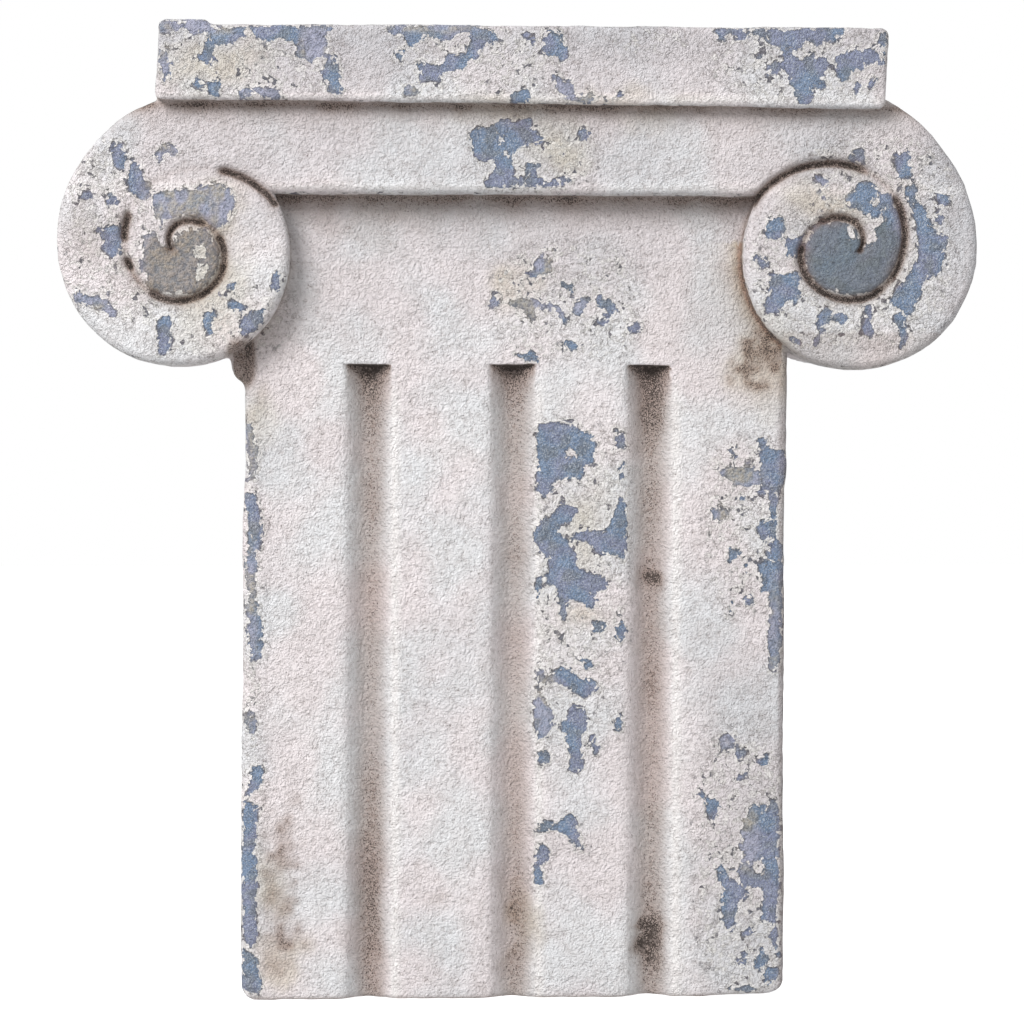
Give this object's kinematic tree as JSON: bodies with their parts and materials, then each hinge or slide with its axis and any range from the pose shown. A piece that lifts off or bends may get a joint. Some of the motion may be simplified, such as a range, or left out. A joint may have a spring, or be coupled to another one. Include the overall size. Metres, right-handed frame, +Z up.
{
  "type": "decorative column",
  "caption": "Short flat-backed column casting: a fluted shaft under a scrolled capital and a plain top slab.",
  "frame": {"origin": "centre of the overall box at the height of the foot, so the foot stands on Z = 0", "axes": "+Z up the column, +X to the viewer's right, +Y to the flat back, so the fluted front faces -Y"},
  "size_m": [0.4468, 0.128, 0.472],
  "materials": {
    "painted_plaster": "matte"
  },
  "bodies": {
    "root": {"column": "painted_plaster"}
  },
  "joints": []
}
